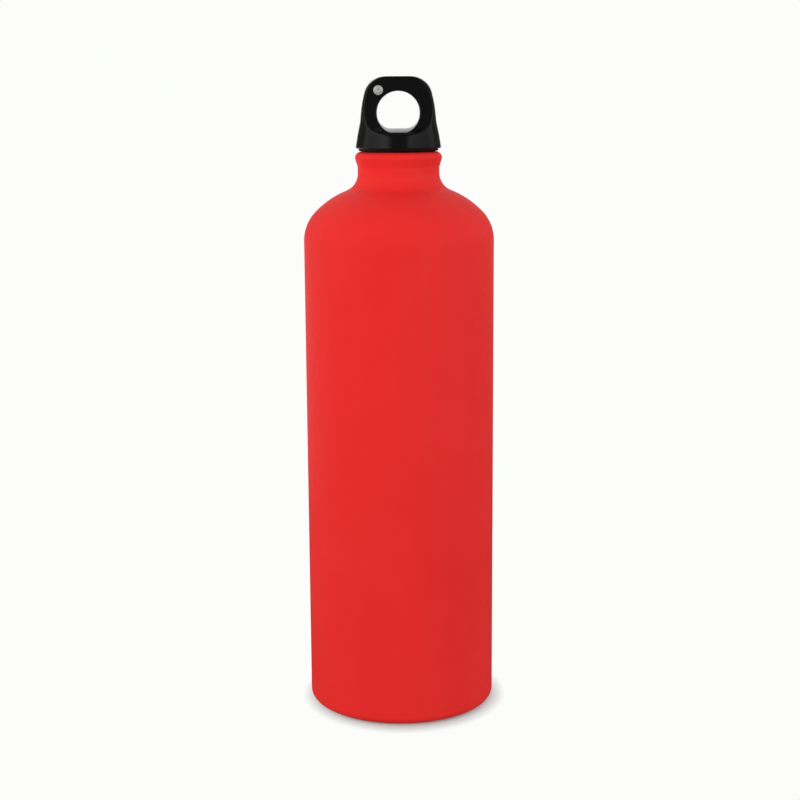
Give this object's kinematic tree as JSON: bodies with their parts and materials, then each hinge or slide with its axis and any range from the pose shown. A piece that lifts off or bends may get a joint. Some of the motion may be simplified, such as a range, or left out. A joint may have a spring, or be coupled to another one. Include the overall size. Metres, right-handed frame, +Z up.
{
  "type": "aluminium bottle",
  "caption": "Slim aluminium drinking bottle with a round shoulder, rolled neck bead and a screw-in cap whose top is a finger loop.",
  "frame": {"origin": "centre of the foot, on the plane that the bottle stands on", "axes": "+Z up along the bottle's axis, the cap's finger hole runs along Y, and the rivet's head faces -Y"},
  "size_m": [0.08, 0.08, 0.2683],
  "materials": {
    "red_powder_coat": "satin",
    "turned_aluminium": "satin",
    "black_gloss_plastic": "gloss",
    "black_plug_plastic": "satin",
    "black_silicone": "matte",
    "nickel_rivet": "satin",
    "zinc_washer": "satin"
  },
  "bodies": {
    "bottle": {"bottle_shell": "red_powder_coat", "neck_thread_insert": "turned_aluminium"},
    "seal": {"seal_ring": "black_silicone"},
    "cap": {"cap_body": "black_gloss_plastic", "cap_plug": "black_plug_plastic", "plug_end_disc": "black_plug_plastic", "loop_rivet": "nickel_rivet", "rivet_washer": "zinc_washer"}
  },
  "joints": [
    {"name": "cap_lift", "type": "slide", "parent": "bottle", "child": "seal", "axis": [0, 0, 1], "range_m": [0, 0.012]},
    {"name": "cap_turn", "type": "hinge", "parent": "seal", "child": "cap", "pos_m": [0, 0, 0.2375], "axis": [0, 0, 1], "range_deg": [0, 1080]}
  ],
  "couplings": [
    {"joint": "cap_lift", "follows": "cap_turn", "m_per_rad": 0.00063662}
  ]
}
